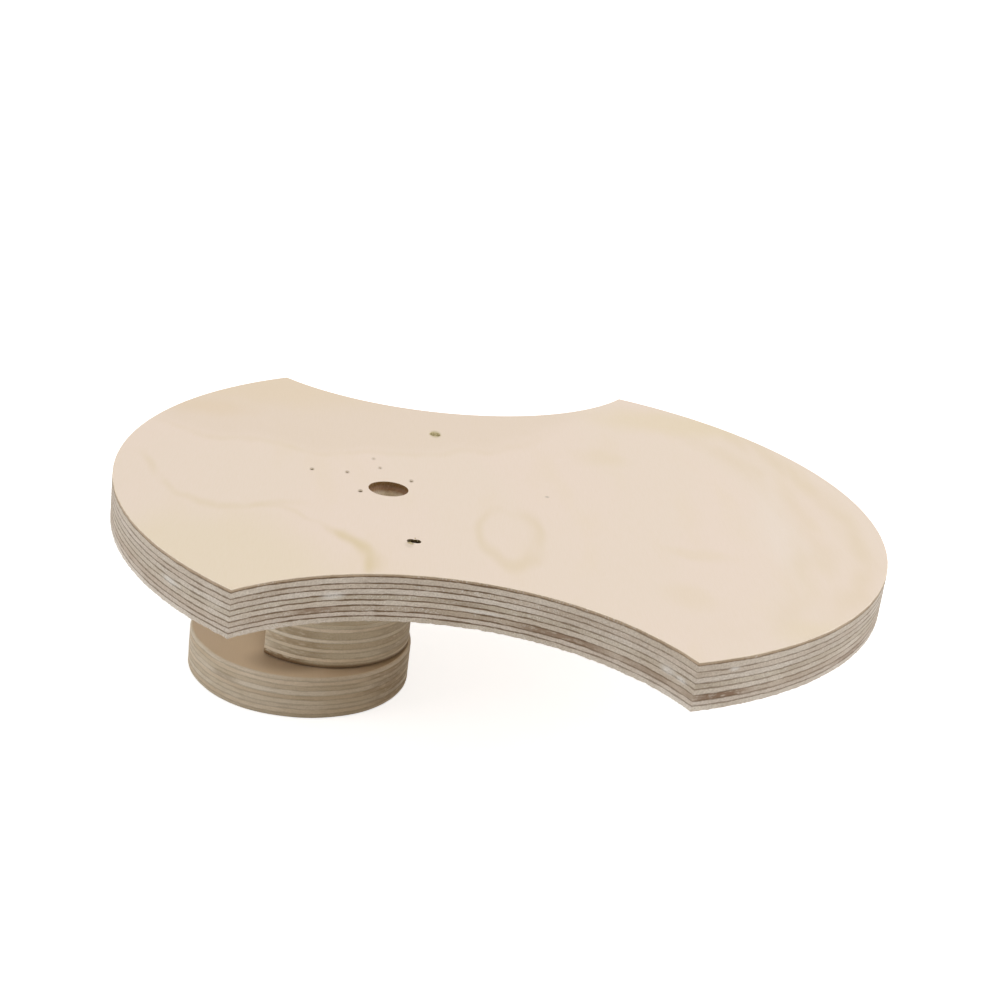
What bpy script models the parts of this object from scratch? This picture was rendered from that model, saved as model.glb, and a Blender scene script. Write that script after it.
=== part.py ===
"""Handpan wall mount.

A round plywood plate with a round bite out of each side is screwed to the wall.
A D-shaped neck of three glued plywood layers stands on its other face, and carries a
round lip disc that is set off towards the neck's flat. The rim of the instrument's
port hangs on the flat of the neck, behind the lip.

Metres, +Z up. The mount lies as it does on a bench, wall face up: the wall face is
z = 0, its centre is the origin, and the neck and the disc hang below the plate.
-X is the side of the lip, which is the upper side once the mount is on a wall.
"""
import math

import bmesh
import bpy
from mathutils import Matrix, Vector

# Plate: one round board, with a round bite out of each side
BOARD_DIAMETER = 0.300
PLATE_THICKNESS = 0.018
WAIST_WIDTH = 0.180
BITE_RADIUS = 0.099
BITE_X = -0.026
PLATE_ARRIS = 0.0006

# Neck: three D-shaped layers, two of the plate's plywood and a thinner one at the plate
NECK_X = -0.0645
NECK_RADIUS = 0.0341
NECK_FLAT_DISTANCE = 0.0219
NECK_LAYERS = (
    ("neck_layer_wall", 0.012), ("neck_layer_middle", 0.018), ("neck_layer_lip", 0.018))
NECK_ARRIS = 0.0003

# Lip disc, set off from the neck's centre towards its flat
LIP_OFFSET = 0.009
LIP_RADIUS = 0.0441
LIP_THICKNESS = 0.0176
LIP_ARRIS = 0.0018

# Glued faces lie this far apart, and metal lies this far from wood
JOINT_GAP = 0.0003

# Two holes for the wall screws, countersunk on the room side; their line was drilled
# a little out of square
WALL_SCREW_X = -0.0308
WALL_SCREW_SPACING = 0.120
WALL_SCREW_SLANT = math.radians(3.6)
WALL_SCREW_HOLE_RADIUS = 0.0025
WALL_SCREW_SINK_RADIUS = 0.005
WALL_SCREW_SINK_DEPTH = 0.0025

# Long screw from the wall face into the neck, its head and washer in a flat-bottomed
# recess; its place is a share of the neck's radius and an angle from +X
SCREW_ON_NECK = (0.642, math.radians(-27.2))
RECESS_RADIUS = 0.0075
RECESS_DEPTH = 0.011
WASHER_RADIUS = 0.0068
WASHER_THICKNESS = 0.0012
SCREW_RADIUS = 0.0025
SCREW_LENGTH = 0.050
SCREW_TIP = 0.005
SCREW_HEAD_RADIUS = 0.0046
SCREW_HEAD_HEIGHT = 0.0030
SCREW_SLOT_WIDTH = 0.0009
SCREW_SLOT_LENGTH = 0.0048
SCREW_SLOT_DEPTH = 0.0016

# Brads: through the plate into the neck, nailed by eye, and through the lip disc into the
# neck; a plate brad's place is a share of the neck's radius and an angle from +X in degrees
BRAD_RADIUS = 0.00075
BRAD_LENGTH = 0.040
BRAD_TIP = 0.002
BRAD_SINK = 0.0008
PLATE_BRADS_ON_NECK = (
    (0.330, 164), (0.140, 52), (0.743, 60), (0.579, 38), (0.518, -60), (0.825, 2))
LIP_BRAD_COUNT = 4
LIP_BRAD_CIRCLE_RADIUS = 0.016
LIP_BRAD_FIRST_ANGLE = math.radians(65)

# Places and levels worked out from the sizes above
LIP_X = NECK_X - LIP_OFFSET
NECK_TOP = -PLATE_THICKNESS - JOINT_GAP
LIP_TOP = NECK_TOP - sum(thickness + JOINT_GAP for _, thickness in NECK_LAYERS)
LIP_BOTTOM = LIP_TOP - LIP_THICKNESS

# Facets of a full circle
LARGE_CIRCLE = 160
MEDIUM_CIRCLE = 96
SMALL_CIRCLE = 32
FINE_CIRCLE = 16
OVERSHOOT = 0.002
MERGE_DISTANCE = 1e-6
SMOOTH_ANGLE = math.radians(30)

# Surface colours (linear), roughness and metallic value
VENEER = ((0.80, 0.68, 0.53), 0.55, 0.0)
SHADED_PLY = ((0.50, 0.39, 0.26), 0.65, 0.0)
STEEL = ((0.45, 0.45, 0.46), 0.35, 1.0)
ZINC = ((0.62, 0.60, 0.55), 0.30, 1.0)


def on_neck(share, angle):
    """A place on the neck, from a share of its radius and an angle from +X."""
    return (NECK_X + share * NECK_RADIUS * math.cos(angle),
            share * NECK_RADIUS * math.sin(angle))


def start_scene():
    """Empty the file and make one collection for the mount and one for its cutters."""
    for thing in list(bpy.data.objects):
        bpy.data.objects.remove(thing, do_unlink=True)
    collections = []
    for name in ("handpan_wall_mount", "cutters"):
        collection = bpy.data.collections.new(name)
        bpy.context.scene.collection.children.link(collection)
        collections.append(collection)
    return collections


def make_material(name, look):
    """A Principled material from a colour, a roughness and a metallic value."""
    colour, roughness, metallic = look
    material = bpy.data.materials.new(name)
    material.use_nodes = True
    shader = material.node_tree.nodes["Principled BSDF"]
    shader.inputs["Base Color"].default_value = (*colour, 1.0)
    shader.inputs["Roughness"].default_value = roughness
    shader.inputs["Metallic"].default_value = metallic
    material.diffuse_color = (*colour, 1.0)
    return material


def finish(mesh, look):
    """Shade a mesh smooth up to its sharp edges, and give it a material of its own name."""
    mesh.shade_smooth()
    mesh.set_sharp_from_angle(angle=SMOOTH_ANGLE)
    mesh.materials.append(make_material(mesh.name, look))
    return mesh


def add_piece(name, mesh, place):
    """Put a mesh in the mount's collection, under the empty that stands for the wall face."""
    piece = bpy.data.objects.new(name, mesh)
    piece.location = place
    piece.parent = wall_face
    mount.objects.link(piece)
    return piece


def add_cutter(name, mesh, place):
    """A cutter is drawn as a wire and left out of renders."""
    cutter = bpy.data.objects.new(name, mesh)
    cutter.location = place
    cutter.hide_render = True
    cutter.display_type = "WIRE"
    cutters.objects.link(cutter)
    return cutter


def cut(piece, cutter):
    """Cut a piece with a closed cutter."""
    modifier = piece.modifiers.new("cut_" + cutter.name, "BOOLEAN")
    modifier.operation = "DIFFERENCE"
    modifier.solver = "EXACT"
    modifier.object = cutter


def soften(piece, width, segments):
    """Round the sharp edges that the piece has so far."""
    modifier = piece.modifiers.new("arris", "BEVEL")
    modifier.width = width
    modifier.segments = segments
    modifier.limit_method = "ANGLE"
    modifier.angle_limit = SMOOTH_ANGLE
    modifier.use_clamp_overlap = True


def cylinder_mesh(name, radius, height, facets, end_radius=None):
    """A cylinder or cone about the origin; end_radius is its radius at the low end."""
    bm = bmesh.new()
    bmesh.ops.create_cone(
        bm, cap_ends=True, segments=facets, depth=height,
        radius1=radius if end_radius is None else end_radius, radius2=radius)
    mesh = bpy.data.meshes.new(name)
    bm.to_mesh(mesh)
    bm.free()
    return mesh


def box_mesh(name, size):
    """A box about the origin."""
    bm = bmesh.new()
    bmesh.ops.create_cube(bm, size=1.0, matrix=Matrix.Diagonal((*size, 1.0)))
    mesh = bpy.data.meshes.new(name)
    bm.to_mesh(mesh)
    bm.free()
    return mesh


def turned_mesh(name, profile, facets, closed=False):
    """Turn an (r, z) profile about Z; a closed profile is a ring."""
    bm = bmesh.new()
    points = [bm.verts.new((r, 0.0, z)) for r, z in profile]
    pairs = list(zip(points, points[1:]))
    if closed:
        pairs.append((points[-1], points[0]))
    lines = [bm.edges.new(pair) for pair in pairs]
    bmesh.ops.spin(
        bm, geom=points + lines, axis=(0.0, 0.0, 1.0), cent=(0.0, 0.0, 0.0),
        angle=math.tau, steps=facets, use_merge=True)
    bmesh.ops.remove_doubles(bm, verts=bm.verts, dist=MERGE_DISTANCE)
    bmesh.ops.dissolve_degenerate(bm, dist=MERGE_DISTANCE, edges=bm.edges)
    bmesh.ops.recalc_face_normals(bm, faces=bm.faces)
    mesh = bpy.data.meshes.new(name)
    bm.to_mesh(mesh)
    bm.free()
    return mesh


def round_cutter(name, place, radius, top, bottom, facets):
    """A round cutter between two levels."""
    mesh = cylinder_mesh(name, radius, top - bottom, facets)
    return add_cutter(name, mesh, (*place, (top + bottom) / 2))


def make_fastener_cutters():
    """Cutters for the recess, the screw's hole, the wall screws' holes and the brads."""
    bottom = -PLATE_THICKNESS - OVERSHOOT
    recess = round_cutter(
        "recess_cutter", SCREW_PLACE, RECESS_RADIUS, OVERSHOOT, -RECESS_DEPTH, SMALL_CIRCLE)
    screw_end = -RECESS_DEPTH + WASHER_THICKNESS - SCREW_LENGTH
    shank = round_cutter(
        "screw_hole_cutter", SCREW_PLACE, SCREW_RADIUS + JOINT_GAP,
        -RECESS_DEPTH + OVERSHOOT, screw_end - OVERSHOOT, FINE_CIRCLE)
    wall_holes = []
    for number, place in enumerate(WALL_SCREW_HOLES, 1):
        wall_holes.append(round_cutter(
            f"wall_screw_hole_cutter_{number}", place, WALL_SCREW_HOLE_RADIUS,
            OVERSHOOT, bottom, SMALL_CIRCLE))
        # The cone's wide end lies below the room face by the overshoot, at the same slope
        slope = (WALL_SCREW_SINK_RADIUS - WALL_SCREW_HOLE_RADIUS) / WALL_SCREW_SINK_DEPTH
        wide = WALL_SCREW_SINK_RADIUS + slope * OVERSHOOT
        narrow = WALL_SCREW_HOLE_RADIUS - slope * PLATE_ARRIS
        height = WALL_SCREW_SINK_DEPTH + OVERSHOOT + PLATE_ARRIS
        mesh = cylinder_mesh(f"sink_cutter_{number}", narrow, height, SMALL_CIRCLE, wide)
        wall_holes.append(add_cutter(mesh.name, mesh, (*place, bottom + height / 2)))
    brad_hole = BRAD_RADIUS + JOINT_GAP
    wall_side = [
        round_cutter(f"plate_brad_cutter_{number}", place, brad_hole,
                     OVERSHOOT, -BRAD_SINK - BRAD_LENGTH - JOINT_GAP, FINE_CIRCLE)
        for number, place in enumerate(PLATE_BRADS, 1)]
    lip_side = [
        round_cutter(f"lip_brad_cutter_{number}", place, brad_hole,
                     LIP_BOTTOM + BRAD_SINK + BRAD_LENGTH + JOINT_GAP,
                     LIP_BOTTOM - OVERSHOOT, FINE_CIRCLE)
        for number, place in enumerate(LIP_BRADS, 1)]
    return recess, shank, wall_holes, wall_side, lip_side


def make_back_plate(recess, shank, wall_holes, brads):
    """The round board, its two bites, and its holes."""
    mesh = cylinder_mesh("back_plate", BOARD_DIAMETER / 2, PLATE_THICKNESS, LARGE_CIRCLE)
    middle = (0.0, 0.0, -PLATE_THICKNESS / 2)
    plate = add_piece("back_plate", finish(mesh, VENEER), middle)
    bite_y = WAIST_WIDTH / 2 + BITE_RADIUS
    for name, side in (("bite_cutter_back", 1), ("bite_cutter_front", -1)):
        cut(plate, round_cutter(
            name, (BITE_X, side * bite_y), BITE_RADIUS, OVERSHOOT,
            -PLATE_THICKNESS - OVERSHOOT, LARGE_CIRCLE))
    soften(plate, PLATE_ARRIS, 2)
    for cutter in (recess, shank, *wall_holes, *brads):
        cut(plate, cutter)
    return plate


def make_neck(shank, brads):
    """Three D-shaped layers, one below the other, with the flat towards -X."""
    height = NECK_TOP - LIP_TOP
    depth = 2 * NECK_RADIUS
    mesh = box_mesh("neck_flat_cutter", (depth, 2 * depth, height + 2 * OVERSHOOT))
    flat = add_cutter(mesh.name, mesh, (
        NECK_X - NECK_FLAT_DISTANCE - depth / 2, 0.0, NECK_TOP - height / 2))
    layers = []
    top = NECK_TOP
    for name, thickness in NECK_LAYERS:
        mesh = cylinder_mesh(name, NECK_RADIUS, thickness, MEDIUM_CIRCLE)
        layer = add_piece(name, finish(mesh, SHADED_PLY), (NECK_X, 0.0, top - thickness / 2))
        top -= thickness + JOINT_GAP
        cut(layer, flat)
        soften(layer, NECK_ARRIS, 1)
        for cutter in (shank, *brads):
            cut(layer, cutter)
        layers.append(layer)
    return layers


def make_lip_disc(brads):
    """The round disc behind which the instrument's port rim hangs, its edges sanded round."""
    mesh = cylinder_mesh("lip_disc", LIP_RADIUS, LIP_THICKNESS, MEDIUM_CIRCLE)
    middle = (LIP_X, 0.0, LIP_TOP - LIP_THICKNESS / 2)
    disc = add_piece("lip_disc", finish(mesh, SHADED_PLY), middle)
    soften(disc, LIP_ARRIS, 3)
    for cutter in brads:
        cut(disc, cutter)
    return disc


def make_washer():
    """Flat washer on the floor of the recess."""
    inner = SCREW_RADIUS + JOINT_GAP
    profile = ((WASHER_RADIUS, WASHER_THICKNESS), (WASHER_RADIUS, 0.0), (inner, 0.0),
               (inner, WASHER_THICKNESS))
    mesh = turned_mesh("neck_screw_washer", profile, SMALL_CIRCLE, closed=True)
    floor = -RECESS_DEPTH + JOINT_GAP
    return add_piece("neck_screw_washer", finish(mesh, ZINC), (*SCREW_PLACE, floor))


def make_screw():
    """Pan-head wood screw with a cross slot, its origin under the head."""
    half_head = SCREW_HEAD_HEIGHT / 2
    profile = (
        (0.0, SCREW_HEAD_HEIGHT), (0.72 * SCREW_HEAD_RADIUS, 0.9 * SCREW_HEAD_HEIGHT),
        (SCREW_HEAD_RADIUS, half_head), (SCREW_HEAD_RADIUS, 0.0), (SCREW_RADIUS, 0.0),
        (SCREW_RADIUS, SCREW_TIP - SCREW_LENGTH), (0.0, -SCREW_LENGTH))
    mesh = turned_mesh("neck_screw", profile, SMALL_CIRCLE)
    seat = -RECESS_DEPTH + WASHER_THICKNESS + 2 * JOINT_GAP
    screw = add_piece("neck_screw", finish(mesh, ZINC), (*SCREW_PLACE, seat))
    slot_height = SCREW_SLOT_DEPTH + OVERSHOOT
    middle = seat + SCREW_HEAD_HEIGHT - SCREW_SLOT_DEPTH + slot_height / 2
    for name, size in (
            ("slot_cutter_x", (SCREW_SLOT_LENGTH, SCREW_SLOT_WIDTH, slot_height)),
            ("slot_cutter_y", (SCREW_SLOT_WIDTH, SCREW_SLOT_LENGTH, slot_height))):
        cut(screw, add_cutter(name, box_mesh(name, size), (*SCREW_PLACE, middle)))
    return screw


def make_brads():
    """Brads that share one mesh: its origin is the middle of the head, and it points down."""
    profile = ((0.0, 0.0), (BRAD_RADIUS, 0.0), (BRAD_RADIUS, BRAD_TIP - BRAD_LENGTH),
               (0.0, -BRAD_LENGTH))
    mesh = finish(turned_mesh("brad", profile, FINE_CIRCLE), STEEL)
    for name, places, head, turn in (
            ("plate_brad", PLATE_BRADS, -BRAD_SINK, 0.0),
            ("lip_brad", LIP_BRADS, LIP_BOTTOM + BRAD_SINK, math.pi)):
        for number, place in enumerate(places, 1):
            brad = add_piece(f"{name}_{number}", mesh, (*place, head))
            brad.rotation_euler.x = turn


def wall_screw_places():
    """Places of the two wall screws, the back one first."""
    half = WALL_SCREW_SPACING / 2
    return [(WALL_SCREW_X + side * half * math.sin(WALL_SCREW_SLANT),
             side * half * math.cos(WALL_SCREW_SLANT)) for side in (1, -1)]


def lip_brad_places():
    """Places of the lip brads, evenly spaced on a circle round the neck's centre."""
    places = []
    for number in range(LIP_BRAD_COUNT):
        angle = LIP_BRAD_FIRST_ANGLE + number * math.tau / LIP_BRAD_COUNT
        places.append((NECK_X + LIP_BRAD_CIRCLE_RADIUS * math.cos(angle),
                       LIP_BRAD_CIRCLE_RADIUS * math.sin(angle)))
    return places


WALL_SCREW_HOLES = wall_screw_places()
SCREW_PLACE = on_neck(*SCREW_ON_NECK)
PLATE_BRADS = [on_neck(share, math.radians(angle)) for share, angle in PLATE_BRADS_ON_NECK]
LIP_BRADS = lip_brad_places()
mount, cutters = start_scene()
wall_face = bpy.data.objects.new("wall_face", None)
mount.objects.link(wall_face)

recess_cutter, shank_cutter, wall_hole_cutters, plate_brad_cutters, lip_brad_cutters = (
    make_fastener_cutters())
make_back_plate(recess_cutter, shank_cutter, wall_hole_cutters, plate_brad_cutters)
make_neck(shank_cutter, plate_brad_cutters + lip_brad_cutters)
make_lip_disc(lip_brad_cutters)
make_washer()
make_screw()
make_brads()
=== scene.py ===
"""Looks of the handpan wall mount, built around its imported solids.

The mount lies wall face up, as in the photograph: the waisted round plate on top, the D-shaped
neck below it, and the offset lip disc under the neck. Sizes are in millimetres and are turned
to metres where a mesh is made; places come from the frame.
"""
import itertools
import math
import random

import bmesh
import bpy
from mathutils import Matrix, Vector, noise
from mathutils.geometry import delaunay_2d_cdt


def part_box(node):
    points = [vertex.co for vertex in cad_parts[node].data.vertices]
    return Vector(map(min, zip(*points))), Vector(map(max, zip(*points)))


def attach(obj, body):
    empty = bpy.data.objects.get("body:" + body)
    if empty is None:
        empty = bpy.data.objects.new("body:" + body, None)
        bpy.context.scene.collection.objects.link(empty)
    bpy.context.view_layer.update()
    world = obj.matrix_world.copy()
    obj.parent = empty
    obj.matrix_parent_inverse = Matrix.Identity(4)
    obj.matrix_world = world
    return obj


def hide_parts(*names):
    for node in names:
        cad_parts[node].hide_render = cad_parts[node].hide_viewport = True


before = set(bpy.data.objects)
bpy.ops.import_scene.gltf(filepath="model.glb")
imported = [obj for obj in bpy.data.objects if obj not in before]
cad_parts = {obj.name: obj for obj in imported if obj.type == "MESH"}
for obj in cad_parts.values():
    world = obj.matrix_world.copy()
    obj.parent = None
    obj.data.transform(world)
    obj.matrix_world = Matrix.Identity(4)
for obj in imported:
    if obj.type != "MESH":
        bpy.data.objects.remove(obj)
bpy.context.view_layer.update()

MM = 0.001
PLATE_BRADS = [f"plate_brad_{number}" for number in range(1, 7)]
LIP_BRADS = [f"lip_brad_{number}" for number in range(1, 5)]

# The plate: a round board with a round bite out of each side
BITE_RADIUS = 99.0
BITE_X = -26.0
WAIST_WIDTH = 180.0

# Holes in the wall face
RECESS_RADIUS = 7.5
RECESS_DEPTH = 11.0
SHANK_HOLE_RADIUS = 2.8
SINK_RADIUS = 5.0
SINK_DEPTH = 2.5
BRAD_HOLE_RADIUS = 0.85
HIDDEN_BRAD_HOLE_RADIUS = 1.05
RECESS_SIDES = 72
WALL_SCREW_HOLE_SIDES = 48
BRAD_HOLE_SIDES = 24
WALL_SCREW_X = -30.8
WALL_SCREW_SPACING = 120.0
WALL_SCREW_SLANT = math.radians(3.6)

# The mouth that the torn wood leaves over each plate brad: the fibres close over two of them.
# Below, how strongly the wood round each is bruised, and how far, across and along the grain
BRAD_MOUTHS = (0.52, 0.46, 0.20, 0.30, 0.72, 0.56)
BRAD_BRUISES = (0.50, 0.45, 0.24, 0.30, 0.65, 0.50)
BRUISE_RADII = (1.25, 2.5)
BRUISED_WOOD = "#6b5b42"
PITH_FLECK = ((17.1, -1.1), (1.2, 1.4), BRUISED_WOOD, 0.35)

# Depth and colour down the walls of the holes. The bit burnished the recess brown near its rim;
# further down its wall grows nearly white: painted light that lifts the shade deep in the recess.
# The back wall-screw hole is stuffed with fibres; the front one was driven twice and is dark
RECESS_WALL_AND_PAINTED_LIGHT = ((0.0, "#70502a"), (1.0, "#7b5a30"), (2.0, "#95745a"), (3.2, "#a98564"), (4.8, "#f6e6cc"))
STUFFED_WALL = ((0.0, "#cbbd93"), (0.8, "#b3a470"), (3.0, "#8f8054"))
DRIVEN_WALL = ((0.0, "#6b5836"), (0.8, "#4c3c22"), (3.0, "#33271a"))
BRAD_WALL = ((0.0, "#dccbb2"), (0.25, "#b39f80"), (0.6, "#85735a"), (2.0, "#6f5f48"))
DISC_BRAD_WALL = ((0.0, "#6f5f48"), (2.6, "#8d7a5e"), (3.0, "#b09c80"))

# The two wall-screw holes, the back one first: how far the mouth flares and how uneven the ring is
WALL_SCREW_HOLES = (
    {"radius": 2.0, "flare": 0.4, "shape": {"wobble": 0.30, "seed": 20.0}},
    {"radius": 2.4, "flare": 0.25, "shape": {"wobble": 0.12, "seed": 21.0, "lobe": 0.36}})

# Worn wood by these two holes: how far off the hole's middle, radii, colour and strength
SCREW_SCUFFS = (((0.0, 0.0), (3.2, 6.0), "#b0a36e", 0.75), ((-1.6, -3.6), (2.2, 4.0), "#8f8062", 0.22))

# Tufts of torn fibre in the wall-screw holes: which hole, how many strands, how far below the
# face their roots lie, how far out, and the middle and half-spread of the way that they point
TUFTS = (
    {"hole": 0, "strands": 60, "depth": 0.45, "out": (-2.3, -1.0), "heading": 0.0, "spread": math.pi},
    {"hole": 1, "strands": 14, "depth": 0.1, "out": (1.7, 2.3),
     "heading": math.radians(243), "spread": 0.5},
    {"hole": 1, "strands": 5, "depth": 0.4, "out": (1.7, 2.2),
     "heading": math.radians(95), "spread": 0.8})

# Each neck layer stands this far proud of its solid, so that the glued joints close
JOINT_TAKE_UP = 0.14

# Room: a pale floor, a gap in millimetres below the disc and half its width in metres, and three
# softboxes with their place in metres, size, power and colour
FLOOR_COLOUR = "#dedede"
FLOOR_GLOW = 0.74
FLOOR_GAP = 0.05
FLOOR_HALF_WIDTH = 15.0
ROOM_COLOUR = "#fff7ea"
ROOM_STRENGTH = 0.45
LAMPS = (
    ("overhead_softbox", (0.0, 0.3, 1.6), 1.6, 9.0, "#ffffff"),
    ("left_softbox", (-1.5, -0.5, 0.45), 1.0, 8.8, "#e4efff"),
    ("right_softbox", (1.35, -0.45, 1.0), 1.0, 13.0, "#e6f0ff"))

# The growth rings waver over this distance, by some millimetres
WAVER = 26.0

# Camera: its place in millimetres, its turn in degrees and its lens on a 36 mm wide frame
CAMERA_PLACE = (-53.34, -656.59, 246.38)
CAMERA_TURN = (69.047, -6.997, -1.886)
CAMERA_LENS = 64.645

# Sheet build-up, from the top face down: the share of its sheet that each ply takes. The neck's
# two thick layers show thin pale plies between thick dark ones; the thin layer is a 12 mm sheet
PLATE_PLIES = (1.2, 2.4, 2.0, 2.2, 2.0, 2.15, 2.15, 1.8, 2.1)
NECK_PLIES = (1.6, 1.5, 3.0, 1.5, 2.5, 1.5, 2.4, 1.5, 2.5)
NECK_WALL_PLIES = (1.8, 1.2, 2.8, 1.2, 2.8, 1.2, 1.0)
DISC_PLIES = (1.5, 2.0, 1.9, 2.1, 1.9, 2.1, 1.9, 2.0, 2.2)

# Roundings of the edges, and the half width of the groove at a glue line
PLATE_ARRIS = 0.35
NECK_ARRIS = 0.25
NECK_FOOT_ARRIS = 0.9
LIP_ARRIS = 1.8
GLUE_GROOVE = 0.14

# Distance along an outline between two columns of faces
OUTLINE_STEP = 0.8

# Edges that turn more sharply than this are drawn crisp
CRISP_ANGLE = math.radians(38)

# How deep the plate's lower arris is splintered, and how uneven the sanded edges are: short
# ripples, and the long unevenness of the neck and of the disc
SPLINTER_DEPTH = 0.34
SANDING_RIPPLE = 0.03
NECK_UNEVENNESS = 0.10
DISC_UNEVENNESS = 0.35

# The order of a piece's materials, and of four more that only the plate has
FACE, EDGE, HOLES = range(3)
STUFFED_HOLE, BRAD_HOLES, ROOM_FACE, DRIVEN_HOLE = range(3, 7)


def linear(value):
    """A linear RGBA value from an sRGB hex colour; any other value stays as it is."""
    if not isinstance(value, str):
        return value
    parts = [int(value[i:i + 2], 16) / 255 for i in (1, 3, 5)]
    return tuple(c / 12.92 if c <= 0.04045 else ((c + 0.055) / 1.055) ** 2.4 for c in parts) + (1.0,)


def node_box(name):
    """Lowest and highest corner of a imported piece, in millimetres."""
    low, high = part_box(name)
    return low / MM, high / MM


# Materials. A pattern is a number from 0 to 1 all over the wood; on a ramp, black is 0 and white 1

BLACK = "#000000"
WHITE = "#ffffff"


def add_node(tree, kind, inputs=None, stops=(), between="LINEAR", **settings):
    """One node with its settings; an input is a value, a hex colour or the socket it is linked to.
    Stops are a ramp's (place, colour) pairs, and between says how it goes from one to the next."""
    node = tree.nodes.new(kind)
    for name, value in settings.items():
        setattr(node, name, value)
    if stops:
        points = node.color_ramp.elements
        node.color_ramp.interpolation = between
        while len(points) < len(stops):
            points.new(0.5)
        for point, (position, colour) in zip(points, stops):
            point.position = position
            point.color = linear(colour)
    for socket, value in (inputs or {}).items():
        if isinstance(value, bpy.types.NodeSocket):
            tree.links.new(value, node.inputs[socket])
        else:
            node.inputs[socket].default_value = linear(value)
    return node


def new_material(name, roughness, metallic=0.0, specular=0.5):
    """An empty Principled material: returns the material, its tree and its shader."""
    material = bpy.data.materials.new(name)
    material.use_nodes = True
    tree = material.node_tree
    shader = tree.nodes["Principled BSDF"]
    shader.inputs["Roughness"].default_value = roughness
    shader.inputs["Metallic"].default_value = metallic
    shader.inputs["Specular IOR Level"].default_value = specular
    return material, tree, shader


def place_in_mm(tree, stretch=(1.0, 1.0, 1.0)):
    """The place on the object in millimetres, squeezed along some axes to stretch a pattern."""
    place = add_node(tree, "ShaderNodeTexCoord").outputs["Object"]
    scale = tuple(s / MM for s in stretch)
    return add_node(tree, "ShaderNodeMapping", {"Vector": place, "Scale": scale}).outputs["Vector"]


def blotches(tree, place, size, low, high, detail=2.0, at=0.0):
    """Soft noise spots of a size in millimetres, spread from 0 below low to 1 above high."""
    spots = add_node(tree, "ShaderNodeTexNoise", {
        "Vector": place, "W": at, "Scale": 1.0 / size, "Detail": detail, "Roughness": 0.55},
        noise_dimensions="4D")
    return add_node(tree, "ShaderNodeMapRange", {
        "Value": spots.outputs["Fac"], "From Min": low, "From Max": high},
        interpolation_type="SMOOTHSTEP").outputs["Result"]


def stain(tree, base, colour, strength, *patterns):
    """A base colour, stained with another one as strongly as said where all the patterns are 1."""
    share = strength
    for pattern in patterns:
        share = add_node(tree, "ShaderNodeMath", {0: pattern, 1: share}, operation="MULTIPLY").outputs[0]
    return add_node(tree, "ShaderNodeMix", {0: share, 6: base, 7: colour}, data_type="RGBA").outputs[2]


def growth_rings(tree, place, centre, radii):
    """Oval growth rings: 1 on the ring of these radii, less inside it, more outside. With two
    numbers each they run straight down through the wood, with three they close in height too."""
    scale = [1 / radius for radius in radii] + [0.0] * (3 - len(radii))
    shift = [-middle * share for middle, share in zip((*centre, 0.0), scale)]
    squeezed = add_node(tree, "ShaderNodeMapping", {
        "Vector": place, "Scale": scale, "Location": shift}).outputs["Vector"]
    return add_node(tree, "ShaderNodeVectorMath", {0: squeezed}, operation="LENGTH").outputs["Value"]


def oval_patch(tree, place, centre, radii, full, end):
    """1 inside a share of such an oval, falling softly to 0 at another share of it."""
    return add_node(tree, "ShaderNodeMapRange", {
        "Value": growth_rings(tree, place, centre, radii), "From Min": end, "From Max": full},
        interpolation_type="SMOOTHSTEP").outputs["Result"]


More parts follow.
